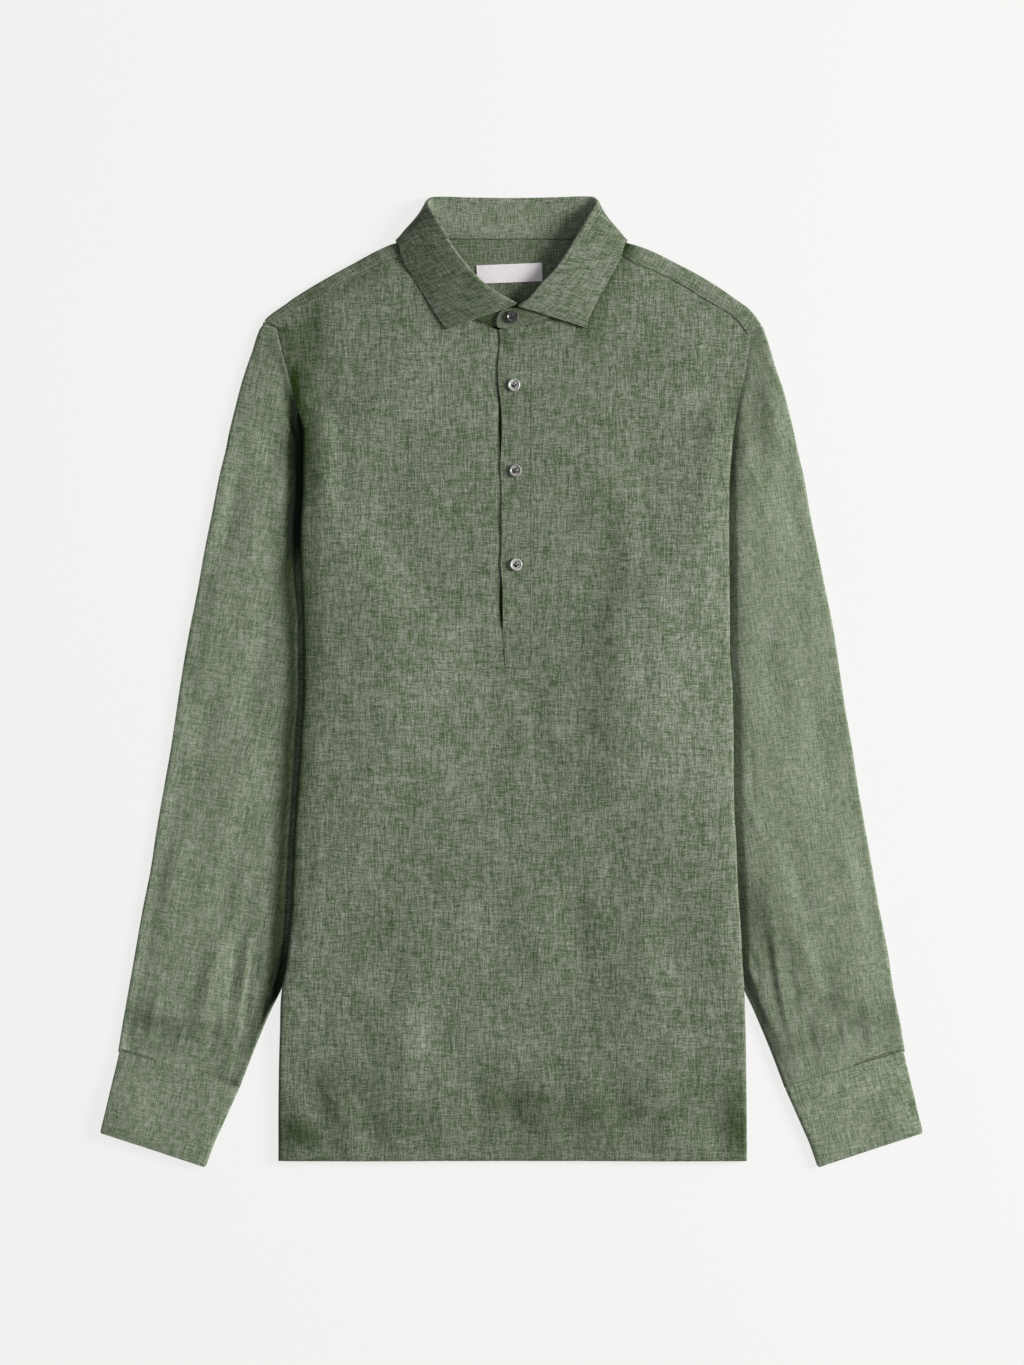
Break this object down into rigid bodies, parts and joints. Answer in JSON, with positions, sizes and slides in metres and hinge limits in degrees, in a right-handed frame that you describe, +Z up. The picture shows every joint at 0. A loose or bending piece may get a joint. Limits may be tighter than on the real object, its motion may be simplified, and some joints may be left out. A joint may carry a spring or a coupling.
{
  "type": "linen shirt",
  "caption": "Long-sleeved pullover linen shirt laid flat on its back: turned-down collar, short buttoned placket, buttoned cuffs, sides folded under.",
  "frame": {"origin": "middle of the outline, on the surface the shirt lies on", "axes": "+X to the wearer's left, +Y from the hem towards the collar, +Z up off the surface"},
  "size_m": [0.6616, 0.7771, 0.0197],
  "materials": {
    "linen": "matte, two-tone woven linen, dark warp and pale weft",
    "linen_doubled": "matte, the same linen doubled and fused",
    "shell": "grey mother-of-pearl, polished",
    "label_tape": "plain pale woven tape"
  },
  "bodies": {
    "root": {"front": "linen", "back": "linen", "yoke": "linen", "sleeve_right": "linen", "sleeve_left": "linen", "cuff_right": "linen_doubled", "cuff_left": "linen_doubled", "collar_stand": "linen_doubled", "collar_leaf": "linen_doubled", "placket_over": "linen_doubled", "placket_under": "linen_doubled", "label": "label_tape", "button_1": "shell", "button_2": "shell", "button_3": "shell", "button_4": "shell", "cuff_button_right": "shell", "cuff_button_left": "shell"}
  },
  "joints": []
}
